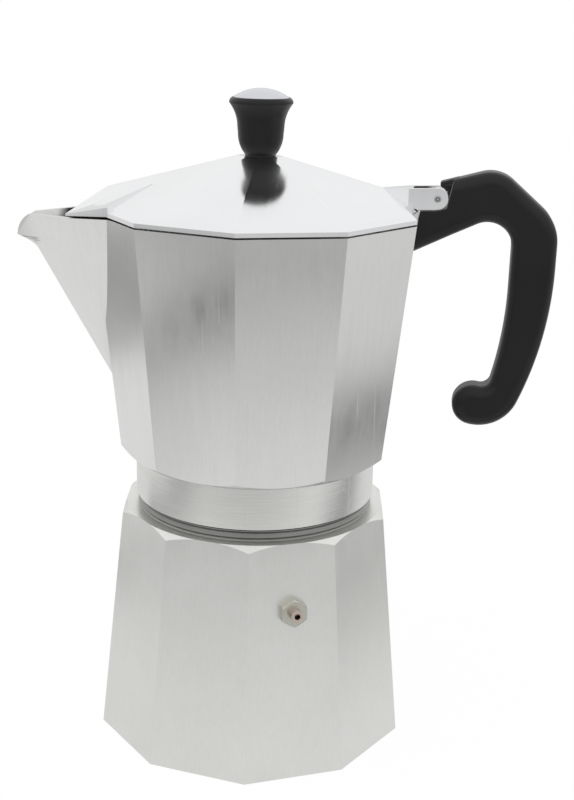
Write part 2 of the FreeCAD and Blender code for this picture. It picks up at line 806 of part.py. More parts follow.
def collector_piece():
    """The collector: a faceted jug with its spout, a threaded collar, a hinge knuckle and a handle tang."""
    sides = faceted("jug_sides", "flat_turn",
                    ("jug_bottom_radius", "jug_low"), ("jug_rim_radius", "jug_rim"))
    turned_edge = add("Part::Cone", "jug_low_edge", Radius1="jug_low_radius",
                      Radius2="jug_low_radius + jug_height / tan(jug_chamfer_slope)", Height="jug_height")
    place(turned_edge, z="jug_low")
    block = common("jug_block", sides, turned_edge)
    collar = cylinder("collar", "collar_radius", "jug_low + overlap - collar_bottom", z="collar_bottom")
    outside = spout_loft("spout_outside", "0", "spout_low")
    knuckle = pin_bore("knuckle", "knuckle_radius", "knuckle_width")
    tang = box("handle_tang", "tang_length + jug_wall", "tang_width", "tang_thickness",
               x=f"{facet('tang_bottom')} - jug_wall / 2", y="0 - tang_width / 2", z="tang_bottom")
    solid = fuse("collector_solid", block, collar, outside, tongue_solid(), knuckle, tang)

    jug = faceted("jug_inside", "flat_turn",
                  ("jug_bottom_radius - jug_foot_wall", "jug_floor"),
                  ("jug_rim_radius - jug_wall / cos(flat_turn)", "jug_rim"))
    channel = spout_loft("spout_inside", "spout_wall", "spout_low + spout_wall")
    recess = "gasket_radius + recess_clearance"
    thread_top = "neck_top + thread_clearance"
    underside = turned("collar_inside", [
        ("0", "collar_bottom - overlap"),
        ("thread_minor + thread_depth", "collar_bottom - overlap"),
        ("thread_minor + thread_depth", thread_top),
        (recess, thread_top),
        (recess, "plate_top"),
        ("gasket_bore - chamber_inset", "plate_top"),
        ("gasket_bore - chamber_inset", "chamber_top"),
        ("column_top_radius", "chamber_top"),
        ("column_top_radius", "jug_floor + overlap"),
        ("0", "jug_floor + overlap"),
    ])
    pin_hole = pin_bore("knuckle_bore", "pin_radius", "knuckle_width + overlap * 2")
    screw_hole = cylinder("tang_bore", "grip_screw_radius + grip_screw_clearance",
                          "tang_thickness + overlap * 2", x="grip_screw_reach", z="tang_bottom - overlap")
    hollow = cut("collector_hollow", solid, jug, channel, spout_brow(), underside, pin_hole, screw_hole)
    ridge = thread_ridge("collar_thread", "thread_minor + thread_depth + thread_sink", "thread_minor")
    return fuse("collector", hollow, ridge)


def pin_bore(name, radius, width):
    """A cylinder along the hinge axis, across the middle plane."""
    item = add("Part::Cylinder", name, Radius=radius, Height=width)
    place(item, x="hinge_reach", y=f"({width}) / 2", z="hinge_height", roll="90")
    return item


def tongue_solid():
    """The plate that rises from the rear rim to the hinge knuckle."""
    front = "rim_facet - tongue_inset"
    return side_slab("tongue", "knuckle_width", [
        (front, "jug_rim - tongue_sink"),
        (f"{front} + tongue_thickness", "jug_rim - tongue_sink"),
        (f"{front} + tongue_thickness", "jug_rim"),
        ("hinge_reach + knuckle_radius * cos(tongue_low_turn)",
         "hinge_height - knuckle_radius * sin(tongue_low_turn)"),
        ("hinge_reach - knuckle_radius * cos(tongue_high_turn)",
         "hinge_height + knuckle_radius * sin(tongue_high_turn)"),
        (front, "jug_rim"),
    ])


def column_piece():
    """The coffee column: a tapered tube with a closed top and a slot across it for the coffee."""
    tube = turned("column_tube", [
        ("column_bore_radius", "chamber_top"),
        ("column_top_radius", "chamber_top"),
        ("column_top_radius", "jug_floor"),
        ("column_foot_radius", "jug_floor"),
        ("column_top_radius", "column_shoulder"),
        ("column_bore_radius", "column_top"),
        ("0", "column_top"),
        ("0", "column_shoulder"),
        ("column_bore_radius", "column_shoulder"),
    ])
    slot = box("column_slot", "column_foot_radius * 2", "column_slot_width", "column_slot_height",
               x="0 - column_foot_radius", y="0 - column_slot_width / 2",
               z="column_shoulder - column_slot_height")
    return cut("coffee_column", tube, slot)


def lid_piece():
    """The lid: a faceted roof with a beak over the spout and a hinge lug at the rear."""
    edge = faceted("lid_edge_block", "flat_turn",
                   ("jug_rim_radius", "lid_bottom"), ("jug_rim_radius", "lid_edge_top"))
    roof = faceted("lid_roof", "flat_turn",
                   ("jug_rim_radius", "lid_edge_top"), ("lid_roof_radius", "lid_bevel_top"),
                   ("lid_seat_drop / lid_slope", "lid_seat"))
    barrel = pin_bore("lug_barrel", "barrel_radius", "lug_width")
    front = ridge_solid("front_ridge", -1, "beak_back_reach")
    rear = ridge_solid("rear_ridge", 1, "hinge_reach - lug_run + ridge_overrun")
    outside = fuse("lid_outside", edge, roof, front, rear, beak_solid(), lug_solid(), barrel)
    inner_radius = "(jug_rim_radius - lid_wall / cos(flat_turn))"
    inner_slope = f"((lid_apex - lid_crown - lid_bottom) / {inner_radius})"
    inside = faceted("lid_inside", "flat_turn",
                     (inner_radius, "lid_bottom"),
                     (f"(lid_apex - lid_crown - lid_inner_top) / {inner_slope}", "lid_inner_top"))
    slot = box("lid_slot", "slot_run + barrel_radius + overlap", "slot_width", "lid_apex - jug_rim",
               x="hinge_reach - slot_run", y="0 - slot_width / 2", z="jug_rim")
    pin_hole = pin_bore("lid_pin_bore", "pin_radius + pin_clearance", "lug_width + overlap * 2")
    screw_hole = cylinder("lid_screw_bore", "screw_hole", "lid_seat_thickness + overlap * 2",
                          z="lid_inner_top - overlap")
    return cut("lid", outside, inside, slot, pin_hole, screw_hole)


def ridge_height(reach):
    """The height of the middle ridge in which the facets beside the front or rear facet meet."""
    return f"(lid_apex - ridge_slope * ({reach}))"


def ridge_solid(name, side, run):
    """A ridge over the lid's front (-1) or rear (1) facet, from the knob's seat out to a run."""
    seat_radius = "(lid_seat_drop / lid_slope)"
    points = [(f"{side} * lid_seat_drop / ridge_slope", "0", "lid_seat"),
              (f"{side} * ({run})", "0", ridge_height(run))]
    for height, rim_height in (("lid_seat", "lid_bevel_top"), ("lid_bottom", "lid_bottom")):
        for across in (-1, 1):
            for radius, level in ((seat_radius, height), ("lid_roof_radius", rim_height)):
                points.append((f"{side} * {radius} * cos(flat_turn)",
                               f"{across} * {radius} * sin(flat_turn)", level))
    return flat_sided(name, points, [
        (0, 2, 3, 1), (0, 1, 5, 4), (0, 4, 2), (1, 3, 5),
        (2, 6, 7, 3), (4, 5, 9, 8), (2, 4, 8, 6), (3, 7, 9, 5), (6, 8, 9, 7),
    ])


def lug_solid():
    """The hinge lug: a bar whose front runs to a point on the lid's rear ridge."""
    point = "hinge_reach - lug_run"
    point_top = f"({ridge_height(point)} - lug_sink)"
    bar_top = "(hinge_height + barrel_radius)"
    plan = [(point, "0"), (f"{point} + lug_point_run", "0 - lug_width / 2"),
            ("hinge_reach", "0 - lug_width / 2"), ("hinge_reach", "lug_width / 2"),
            (f"{point} + lug_point_run", "lug_width / 2")]
    points = [(x, y, "hinge_height - barrel_radius - lug_sink") for x, y in plan]
    for x, y in plan:
        share = f"({x} - hinge_reach + lug_run) / lug_run"
        points.append((x, y, f"{point_top} + ({bar_top} - {point_top}) * {share}"))
    return flat_sided("lug_bar", points, [
        (0, 1, 2, 3, 4), (5, 6, 7, 8, 9),
        (0, 1, 6, 5), (1, 2, 7, 6), (2, 3, 8, 7), (3, 4, 9, 8), (4, 0, 5, 9),
    ])


def beak_solid():
    """The lid's beak over the spout: a raised panel from the front ridge down to a straight tip."""
    back = "0 - beak_back_reach"
    back_half = "beak_back_reach * tan(flat_turn)"
    back_top = "lid_apex - lid_slope * beak_back_reach / cos(flat_turn) + beak_back_lift"
    root = "0 - rim_facet + beak_root_run * cos(flat_turn * 3)"
    root_half = "jug_rim_radius * sin(flat_turn) + beak_root_run * sin(flat_turn * 3)"
    root_bottom = "lid_bottom + beak_root_lift"
    tip = "0 - rim_facet - beak_projection"
    points = []
    for side in (-1, 1):
        points.append((back, f"{side} * ({back_half})", back_top))
        points.append((root, f"{side} * ({root_half})", "lid_bevel_top + beak_root_lift"))
        points.append((tip, f"{side} * beak_half_width", "beak_tip"))
        points.append((root, f"{side} * ({root_half})", root_bottom))
        points.append((tip, f"{side} * beak_half_width", "beak_tip - beak_tip_thickness"))
        points.append((back, f"{side} * ({back_half})", root_bottom))
    for reach in ("beak_back_reach", "rim_facet - beak_peak_inset"):
        points.append((f"0 - ({reach})", "0", f"{ridge_height(reach)} + beak_back_lift"))
    return flat_sided("beak", points, [
        (0, 1, 2), (0, 2, 13), (0, 13, 12), (6, 8, 7), (6, 13, 8), (6, 12, 13), (2, 8, 13),
        (1, 3, 4, 2), (7, 8, 10, 9), (2, 4, 10, 8),
        (0, 5, 3, 1), (6, 7, 9, 11), (0, 12, 6, 11, 5),
        (5, 11, 9, 3), (3, 9, 10, 4),
    ])


def pin_piece():
    return pin_bore("hinge_pin", "pin_radius", "lug_width + pin_head * 2")


def knob_pieces():
    """The lid's knob, its bright cap, and the screw and washer that hold it from below."""
    knob = turned("knob", [
        ("screw_hole", "lid_seat"),
        ("knob_neck_radius", "lid_seat"),
        ("knob_neck_radius", "knob_shoulder", "knob_shoulder_radius"),
        ("knob_waist_radius", "knob_waist"),
        ("knob_stem_radius", "knob_stem", "0 - knob_flare_radius"),
        ("knob_lip_radius", "knob_lip", "knob_lip_arc"),
        ("knob_lip_radius - knob_lip_round", "knob_top"),
        ("cap_radius + cap_clearance", "knob_top"),
        ("cap_radius + cap_clearance", "cap_seat"),
        ("0", "cap_seat"),
        ("0", "screw_top + screw_clearance"),
        ("screw_hole", "screw_top + screw_clearance"),
    ])
    cap = turned("knob_cap", [
        ("0", "cap_seat"),
        ("cap_radius", "cap_seat"),
        ("cap_radius", "knob_top", "cap_dome_arc"),
        ("0", "knob_top + cap_dome"),
    ])
    blank = turned("knob_screw_blank", [
        ("0", "screw_head_bottom"),
        ("screw_head_radius", "screw_head_bottom"),
        ("screw_head_radius", "screw_head_top"),
        ("screw_radius", "screw_head_top"),
        ("screw_radius", "screw_top"),
        ("0", "screw_top"),
    ])
    drive = box("knob_screw_slot", "screw_head_radius * 2", "screw_slot_width", "screw_slot_depth",
                x="0 - screw_head_radius", y="0 - screw_slot_width / 2", z="screw_head_bottom")
    screw = cut("knob_screw", blank, drive)
    washer = turned("knob_washer", [
        ("screw_hole", "screw_head_top"),
        ("washer_radius", "screw_head_top"),
        ("washer_radius", "lid_inner_top"),
        ("screw_hole", "lid_inner_top"),
    ])
    return knob, cap, screw, washer


def spot(x, z):
    """A point of the middle plane."""
    return FreeCAD.Vector(x, 0, z)


def round_point(centre, radius, degrees):
    """The point of a circle in the middle plane at an angle from +X."""
    angle = math.radians(degrees)
    return centre + FreeCAD.Vector(math.cos(angle), 0, math.sin(angle)) * radius


def towards(centre, radius, other):
    """The point of a circle on the line from its centre towards another centre."""
    return centre + (other - centre).normalize() * radius


def rolling_centre(first, first_radius, second, second_radius):
    """The centre at two given distances from two centres, to the right of the line between them."""
    line = second - first
    gap = line.Length
    along = (gap ** 2 + first_radius ** 2 - second_radius ** 2) / (2 * gap)
    off = math.sqrt(first_radius ** 2 - along ** 2)
    unit = line / gap
    return first + unit * along - FreeCAD.Vector(-unit.z, 0, unit.x) * off


def arc_between(first, second, centre, radius, clockwise):
    """The arc from one point to another about a centre, seen from -Y, turning clockwise (1) or not (-1)."""
    begin = math.atan2(first.z - centre.z, first.x - centre.x)
    stop = math.atan2(second.z - centre.z, second.x - centre.x)
    turn = (begin - stop) * clockwise % (2 * math.pi)
    half = begin - clockwise * turn / 2
    middle = centre + FreeCAD.Vector(math.cos(half), 0, math.sin(half)) * radius
    return Part.Arc(first, middle, second)


def handle_outline():
    """The grip's side outline in the middle plane: its outer edges, its inner edges and its seat edges."""
    reach = size("handle_reach")
    front = size("handle_front")
    crest = spot(size("hinge_reach + crest_run"), size("hinge_height + crest_rise"))
    incline = math.radians(size("handle_incline"))
    slope = math.radians(size("handle_slope"))
    up = spot(math.cos(incline), math.sin(incline))
    down = spot(math.cos(slope), -math.sin(slope))
    crest_radius = size("crest_radius")
    crest_run = crest_radius * math.tan((incline + slope) / 2)
    crest_start = crest - up * crest_run
    crest_centre = crest_start + spot(up.z, -up.x) * crest_radius
    bend = crest + down * ((reach - crest.x) / down.x)
    corner_radius = size("corner_radius")
    corner_run = corner_radius * math.tan((math.pi / 2 - slope) / 2)
    bend_start = bend - down * corner_run
    bend_end = bend - spot(0, corner_run)
    corner = bend_end - spot(corner_radius, 0)
    back_radius = size("back_radius")
    back = spot(reach - back_radius, size("back_start"))
    tail_radius = size("tail_radius")
    ball_radius = size("ball_radius")
    back_turn = size("back_turn")
    tail = round_point(back, back_radius - tail_radius, -back_turn)
    ball = round_point(tail, tail_radius - ball_radius, -back_turn - size("tail_turn"))
    finger_reach = size("finger_reach")
    finger_radius = size("finger_corner_radius")
    finger = spot(finger_reach - finger_radius, size("finger_corner"))
    inner_radius = size("finger_back_radius")
    inner = spot(finger_reach - inner_radius, size("finger_back_start"))
    end_radius = size("finger_end_radius")
    end = rolling_centre(ball, ball_radius + end_radius, inner, inner_radius - end_radius)

    foot = spot(size(facet("handle_foot")), size("handle_foot"))
    to_finger = finger - foot
    lean = math.degrees(math.atan2(to_finger.z, to_finger.x))
    spread = math.degrees(math.asin(finger_radius / to_finger.Length))
    arm = round_point(finger, finger_radius, lean + spread + 90)

    start = crest - up * ((crest.x - front) / up.x)
    crest_end = crest + down * crest_run
    back_start = spot(reach, back.z)
    leave_back = towards(back, back_radius, tail)
    meet_ball = towards(tail, tail_radius, ball)
    leave_ball = towards(ball, ball_radius, end)
    meet_inner = towards(inner, inner_radius, end)
    finger_low = spot(finger_reach, inner.z)
    finger_high = spot(finger_reach, finger.z)
    outer = [
        Part.LineSegment(start, crest_start),
        arc_between(crest_start, crest_end, crest_centre, crest_radius, 1),
        Part.LineSegment(crest_end, bend_start),
        arc_between(bend_start, bend_end, corner, corner_radius, 1),
        Part.LineSegment(bend_end, back_start),
        arc_between(back_start, leave_back, back, back_radius, 1),
        arc_between(leave_back, meet_ball, tail, tail_radius, 1),
        arc_between(meet_ball, leave_ball, ball, ball_radius, 1),
    ]
    inside = [
        arc_between(leave_ball, meet_inner, end, end_radius, -1),
        arc_between(meet_inner, finger_low, inner, inner_radius, -1),
        Part.LineSegment(finger_low, finger_high),
        arc_between(finger_high, arm, finger, finger_radius, -1),
        Part.LineSegment(arm, foot),
    ]
    crown = spot(size(facet("handle_crown")), size("handle_crown"))
    notch = spot(front, size("handle_notch"))
    step = spot(size("handle_front - handle_step_run"), size("handle_notch - handle_step_drop"))
    seat = [Part.LineSegment(*ends) for ends in ((foot, crown), (crown, step), (step, notch), (notch, start))]
    return outer, inside, seat


def handle_piece():
    """The moulded grip: its side outline at full width, rounded where the fingers go."""
    outer, inside, seat = handle_outline()
    half = FreeCAD.Vector(0, size("handle_width / 2"), 0)
    outline = Part.Wire([curve.toShape() for curve in outer + inside + seat])
    blank = Part.Face(outline).extrude(half * 2)
    blank.translate(half * -1)
    ends = [curve.toShape().Vertexes for curve in inside]
    paths = {tuple(sorted(round_off(vertex.Point) for vertex in pair)) for pair in ends}
    grip_edges = []
    for edge in blank.Edges:
        path = tuple(sorted(round_off(vertex.Point) for vertex in edge.Vertexes))
        if path in paths:
            grip_edges.append(edge)
    rounded = doc.addObject("Part::Feature", "handle_blank")
    rounded.Shape = blank.makeFillet(size("inner_round"), grip_edges)
    gap = "tang_clearance"
    pocket = box("tang_pocket", f"tang_length + jug_wall + {gap}", f"tang_width + {gap} * 2",
                 f"tang_thickness + {gap} * 2", x=f"{facet('tang_bottom')} - jug_wall / 2",
                 y=f"0 - tang_width / 2 - {gap}", z=f"tang_bottom - {gap}")
    shank = cylinder("grip_screw_bore", "grip_screw_radius + grip_screw_clearance",
                     "grip_screw_length + grip_screw_clearance", x="grip_screw_reach", z="grip_screw_seat")
    sink = cylinder("grip_screw_sink", "grip_screw_head_radius + grip_screw_clearance", "handle_width",
                    x="grip_screw_reach", z="grip_screw_seat - handle_width")
    return cut("handle", rounded, pocket, shank, sink)


def round_off(point):
    """A point's place in the middle plane, rounded so that places can be compared."""
    return round(point.x, 3), round(point.z, 3)


def handle_screw_piece():
    return turned("handle_screw", [
        ("0", "0 - grip_screw_head_height"),
        ("grip_screw_head_radius", "0 - grip_screw_head_height"),
        ("grip_screw_head_radius", "0"),
        ("grip_screw_radius", "0"),
        ("grip_screw_radius", "grip_screw_length"),
        ("0", "grip_screw_length"),
    ], x="grip_screw_reach", z="grip_screw_seat")


def build():
    fill_sheet()
    pieces = [boiler_piece(), *valve_pieces(), funnel_piece(), gasket_piece(), *disc_pieces(),
              collector_piece(), column_piece(), lid_piece(), pin_piece(), *knob_pieces(),
              handle_piece(), handle_screw_piece()]
    doc.recompute()
    return pieces


def check(pieces):
    """Stop if any object failed, or if a piece is not one closed solid."""
    for item in doc.Objects:
        if "Invalid" in item.State or "Error" in item.State:
            raise RuntimeError(f"{item.Label} failed: {item.State}")
    for piece in pieces:
        shape = piece.Shape
        if shape.isNull() or not shape.isValid() or len(shape.Solids) != 1:
            raise RuntimeError(f"{piece.Label} is not one valid solid: {len(shape.Solids)} solids")


def write(pieces):
    os.makedirs("parts", exist_ok=True)
    for piece in pieces:
        piece.Shape.exportStep(f"parts/{piece.Label}.step")
        print(f"{piece.Label}: {piece.Shape.Volume:.1f} mm3")


pieces = build()
check(pieces)
write(pieces)
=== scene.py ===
import math

import bmesh
import bpy
from mathutils import Matrix, Vector


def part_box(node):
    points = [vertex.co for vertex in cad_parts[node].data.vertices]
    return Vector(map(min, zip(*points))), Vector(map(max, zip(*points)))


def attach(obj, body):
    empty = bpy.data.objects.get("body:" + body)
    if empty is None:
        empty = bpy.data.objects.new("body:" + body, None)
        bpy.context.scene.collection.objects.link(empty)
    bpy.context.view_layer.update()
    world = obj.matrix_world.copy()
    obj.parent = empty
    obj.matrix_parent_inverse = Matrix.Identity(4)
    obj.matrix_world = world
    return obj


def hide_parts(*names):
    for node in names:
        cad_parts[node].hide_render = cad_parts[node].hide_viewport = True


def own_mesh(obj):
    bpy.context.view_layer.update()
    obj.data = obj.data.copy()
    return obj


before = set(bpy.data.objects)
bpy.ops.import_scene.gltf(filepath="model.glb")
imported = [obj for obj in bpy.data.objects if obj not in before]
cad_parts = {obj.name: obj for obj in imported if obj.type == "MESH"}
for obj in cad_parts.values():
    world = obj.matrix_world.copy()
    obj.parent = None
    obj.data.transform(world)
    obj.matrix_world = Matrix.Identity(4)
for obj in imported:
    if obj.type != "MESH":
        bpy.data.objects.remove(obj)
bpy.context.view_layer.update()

MM = 0.001

# Edge breaks, in metres.
RIDGE_BREAK = 0.45 * MM
RIM_BREAK = 0.30 * MM
SMALL_BREAK = 0.15 * MM
HANDLE_ROUND = 1.9 * MM
RIB_ROUND = 0.7 * MM

# The least bend, in degrees, of the edges that are broken.
FACET_BEND = 8.0
LID_BEND = 5.0
HANDLE_BEND = 20.0
PIECE_BEND = 35.0
SPOUT_BEND = 40.0

# How near points count as one, in metres, and how flat joined faces are, in degrees.
MERGE_REACH = 1e-6
CUT_REACH = 1e-7
FLAT_BEND = 0.4

# Heights and reaches that tell the parts of the boiler and the jug apart, in millimetres.
BOILER_OUTSIDE = 43.0
NECK_TOP = 91.0
NECK_FOOT = 88.4
SPOUT_BACK = -60.0
COLLAR_TOP = 107.0
COLLAR_FOOT = 93.0
COLLAR_OUTSIDE = 44.0
JUG_OUTSIDE = 47.0
JUG_RIM = 197.0
TURNED_TOP = 108.5
INSIDE_FOOT = 109.0
FACING_IN = -0.2

# The handle's taper towards the hinge, and its rib over the hinge, in millimetres.
TAPER_START = 89.0
TAPER_END = 69.0
TAPER_SHARE = 0.73
TAPER_CUTS = 4
POCKET_HALF = 3.3
POCKET_BACK = 68.0
RIB_HALF = 2.5
# The rib and the web under it, each as its lowest x and z, its highest x and z, and its incline.
RIB_BLOCKS = [
    (64.1, 208.9, 71.0, 210.8, 0.28),
    (65.8, 207.5, 71.0, 210.2, 0.0),
    (66.6, 206.2, 71.0, 209.8, 0.0),
    (66.95, 201.5, 71.0, 209.0, 0.0),
    (64.4, 208.6, 71.0, 210.4, 0.0),
    (65.2, 208.15, 71.0, 210.2, 0.0),
]

# Where the handle is drawn up to the hinge, in millimetres as (x, z): a construction corner and its place.
HINGE_CORNERS = {
    (56.77, 197.0): (57.5, 200.7),
    (62.0, 199.5): (63.0, 200.95),
    (69.0, 201.0): (66.65, 201.85),
}
CORNER_REACH = 0.1
FRONT_REACH = 0.05
HANDLE_FRONT = 69.0
FRONT_FOOT = (67.9, 207.55)
FRONT_LEAN = 0.184

# The turned grooves round the boiler's neck ring, in millimetres: heights, half width and depth.
RING_RADIUS = 44.3
RING_REACH = 0.2
HEIGHT_REACH = 0.01
RING_GROOVES = (89.0, 91.3)
GROOVE_HALF = 0.35
GROOVE_DEPTH = 0.5

# The ring groove in each end of the hinge pin: each inset's width and how far it is raised, in metres.
PIN_GROOVE = [(0.20 * MM, 0.0), (0.25 * MM, -0.45 * MM), (0.25 * MM, 0.45 * MM)]
# A face's normal is below the first along Z on an upright face, and above the second along Y on an end.
UPRIGHT = 0.1
END_ON = 0.99

# The spout's inside is left plain at its lip and painted dark further in, as painted shade under the beak, in
# millimetres along X. In the jug a share of the painted shade is left.
SHADE_FREE_LIP = -76.5
SHADE_START = -73.0
SPOUT_END = -58.0
JUG_START = -46.0
JUG_SHADE_SHARE = 0.30
PAINTED_SHADE_COLOUR = (0.05, 0.045, 0.038, 1.0)

# How far the surface effects show in the finishes: shares of tone and roughness, and depths in metres.
GRAIN_TONE = 0.5
SMUDGE_TONE = 0.5
BAND_SHARE = 0.6
SCRATCH_TURNS = (0.5, 2.1)
SCRATCH_STRETCH = (1400.0, 60.0, 18.0)
SCRATCH_ROUGH = 0.08
SCRATCH_DEPTH = 0.6
GRAIN_DEPTH = 0.1 * MM
MOULDED_SPECULAR = 0.34
MOULDED_SMUDGE = 0.08
PEBBLE_STRENGTH = 0.12
RUBBER_STRENGTH = 0.15
PEBBLE_DEPTH = 0.05 * MM


# Surface effects, shared by the finishes.

def new_group(name, inputs, outputs):
    """An empty shader node group with its sockets, and its two end nodes."""
    group = bpy.data.node_groups.new(name, "ShaderNodeTree")
    for title, kind, value in inputs:
        socket = group.interface.new_socket(title, in_out="INPUT", socket_type=kind)
        if value is not None:
            socket.default_value = value
    for title, kind in outputs:
        group.interface.new_socket(title, in_out="OUTPUT", socket_type=kind)
    return group, group.nodes.new("NodeGroupInput"), group.nodes.new("NodeGroupOutput")


def noise(tree, vector, scale, detail=2.0, roughness=0.5):
    """A noise texture's value output."""
    node = tree.nodes.new("ShaderNodeTexNoise")
    node.inputs["Scale"].default_value = scale
    node.inputs["Detail"].default_value = detail
    node.inputs["Roughness"].default_value = roughness
    tree.links.new(vector, node.inputs["Vector"])
    return node.outputs["Fac"]


def spread(tree, value, low, high, to_low=0.0, to_high=1.0):
    """A value taken from one range to another, held at its ends."""
    node = tree.nodes.new("ShaderNodeMapRange")
    ends = {"From Min": low, "From Max": high, "To Min": to_low, "To Max": to_high}
    for title, number in ends.items():
        node.inputs[title].default_value = number
    tree.links.new(value, node.inputs["Value"])
    return node.outputs["Result"]


def reckon(tree, operation, first, second):
    """A sum of two sockets, or of a socket and a number."""
    node = tree.nodes.new("ShaderNodeMath")
    node.operation = operation
    for socket, value in zip(node.inputs, (first, second)):
        if isinstance(value, (int, float)):
            socket.default_value = value
        else:
            tree.links.new(value, socket)
    return node.outputs["Value"]


def grain_group():
    """Fine drawn lines along whichever way the coordinates are stretched."""
    group, start, end = new_group("drawn_grain", [("Vector", "NodeSocketVector", None)],
                                  [("Lines", "NodeSocketFloat"), ("Bands", "NodeSocketFloat")])
    fine = noise(group, start.outputs["Vector"], scale=1.0, detail=3.0, roughness=0.65)
    broad = noise(group, start.outputs["Vector"], scale=0.12)
    group.links.new(spread(group, fine, low=0.3, high=0.7), end.inputs["Lines"])
    group.links.new(spread(group, broad, low=0.35, high=0.65), end.inputs["Bands"])
    return group


def smudge_group():
    """Soft uneven patches, as hands and a polishing cloth leave."""
    group, start, end = new_group("hand_smudge", [("Vector", "NodeSocketVector", None)],
                                  [("Patches", "NodeSocketFloat")])
    patches = noise(group, start.outputs["Vector"], scale=26.0, detail=4.0, roughness=0.6)
    group.links.new(spread(group, patches, low=0.35, high=0.68), end.inputs["Patches"])
    return group


def wear_group():
    """Rubbed edges: the broken-edge faces, worn unevenly along their length."""
    group, start, end = new_group("edge_wear", [("Vector", "NodeSocketVector", None)],
                                  [("Worn", "NodeSocketFloat")])
    edge = group.nodes.new("ShaderNodeAttribute")
    edge.attribute_name = "wear"
    patchy = noise(group, start.outputs["Vector"], scale=140.0, detail=3.0)
    uneven = spread(group, patchy, low=0.3, high=0.7, to_low=0.35)
    group.links.new(reckon(group, "MULTIPLY", edge.outputs["Fac"], uneven), end.inputs["Worn"])
    return group


def scratch_group():
    """Sparse hair-thin scratches in two directions."""
    group, start, end = new_group("hair_scratches", [("Vector", "NodeSocketVector", None)],
                                  [("Marks", "NodeSocketFloat")])
    marks = []
    for turn in SCRATCH_TURNS:
        spin = group.nodes.new("ShaderNodeMapping")
        spin.inputs["Rotation"].default_value = (turn, turn / 2, turn)
        spin.inputs["Scale"].default_value = SCRATCH_STRETCH
        group.links.new(start.outputs["Vector"], spin.inputs["Vector"])
        hairs = noise(group, spin.outputs["Vector"], scale=1.0, detail=1.0)
        marks.append(spread(group, hairs, low=0.73, high=0.77))
    group.links.new(reckon(group, "MAXIMUM", *marks), end.inputs["Marks"])
    return group


DRAWN_GRAIN = grain_group()
HAND_SMUDGE = smudge_group()
EDGE_WEAR = wear_group()
HAIR_SCRATCHES = scratch_group()


# Finishes.

def new_finish(name):
    """A material with its Principled shader and object coordinates."""
    material = bpy.data.materials.new(name)
    material.use_nodes = True
    tree = material.node_tree
    place = tree.nodes.new("ShaderNodeTexCoord")
    return material, tree, tree.nodes["Principled BSDF"], place.outputs["Object"]


def effect(tree, group, vector):
    """A shared effect placed in a finish."""
    node = tree.nodes.new("ShaderNodeGroup")
    node.node_tree = group
    tree.links.new(vector, node.inputs["Vector"])
    return node.outputs


def stretched(tree, vector, scale):
    """Coordinates scaled by axis, for drawn lines."""
    node = tree.nodes.new("ShaderNodeMapping")
    node.inputs["Scale"].default_value = scale
    tree.links.new(vector, node.inputs["Vector"])
    return node.outputs["Vector"]


def around_axis(tree, vector, turns, out, up):
    """Coordinates of turn about Z, reach from Z and height, for lines round or out from the axis."""
    split = tree.nodes.new("ShaderNodeSeparateXYZ")
    tree.links.new(vector, split.inputs["Vector"])
    turn = reckon(tree, "ARCTAN2", split.outputs["Y"], split.outputs["X"])
    across = reckon(tree, "MULTIPLY", split.outputs["X"], split.outputs["X"])
    along = reckon(tree, "MULTIPLY", split.outputs["Y"], split.outputs["Y"])
    reach = reckon(tree, "SQRT", reckon(tree, "ADD", across, along), 0.0)
    join = tree.nodes.new("ShaderNodeCombineXYZ")
    tree.links.new(reckon(tree, "MULTIPLY", turn, turns), join.inputs["X"])
    tree.links.new(reckon(tree, "MULTIPLY", reach, out), join.inputs["Y"])
    tree.links.new(reckon(tree, "MULTIPLY", split.outputs["Z"], up), join.inputs["Z"])
    return join.outputs["Vector"]


def tint(tree, share, dark, light):
    """A colour between two, by a share."""
    node = tree.nodes.new("ShaderNodeMix")
    node.data_type = "RGBA"
    node.inputs["A"].default_value = (*dark, 1.0)
    node.inputs["B"].default_value = (*light, 1.0)
    tree.links.new(share, node.inputs["Factor"])
    return node.outputs["Result"]


def raise_surface(tree, shader, height, strength, depth):
    """Bump from a height."""
    bump = tree.nodes.new("ShaderNodeBump")
    bump.inputs["Strength"].default_value = strength
    bump.inputs["Distance"].default_value = depth
    tree.links.new(height, bump.inputs["Height"])
    tree.links.new(bump.outputs["Normal"], shader.inputs["Normal"])


def metal(name, dark, light, rough, grain, lines=0.05, smudge=0.05, worn=-0.06, anisotropy=0.0):
    """A bare metal: drawn grain, hand smudges, hair scratches and rubbed edges over one base roughness."""
    material, tree, shader, place = new_finish(name)
    shader.inputs["Metallic"].default_value = 1.0
    shader.inputs["Anisotropic"].default_value = anisotropy
    drawn = effect(tree, DRAWN_GRAIN, grain(tree, place))
    marks = effect(tree, HAND_SMUDGE, place)
    wear = effect(tree, EDGE_WEAR, place)
    scratches = effect(tree, HAIR_SCRATCHES, place)
    tone = reckon(tree, "ADD", reckon(tree, "MULTIPLY", drawn["Lines"], GRAIN_TONE),
                  reckon(tree, "MULTIPLY", marks["Patches"], SMUDGE_TONE))
    tone = reckon(tree, "MAXIMUM", tone, wear["Worn"])
    tree.links.new(tint(tree, tone, dark, light), shader.inputs["Base Color"])
    roughness = reckon(tree, "ADD", reckon(tree, "MULTIPLY", marks["Patches"], smudge), rough)
    shares = [(drawn["Bands"], smudge * BAND_SHARE), (wear["Worn"], worn),
              (scratches["Marks"], SCRATCH_ROUGH)]
    for mask, share in shares:
        roughness = reckon(tree, "ADD", roughness, reckon(tree, "MULTIPLY", mask, share))
    tree.links.new(roughness, shader.inputs["Roughness"])
    cut = reckon(tree, "MULTIPLY", scratches["Marks"], SCRATCH_DEPTH)
    height = reckon(tree, "SUBTRACT", drawn["Lines"], cut)
    raise_surface(tree, shader, height, lines, GRAIN_DEPTH)
    return material


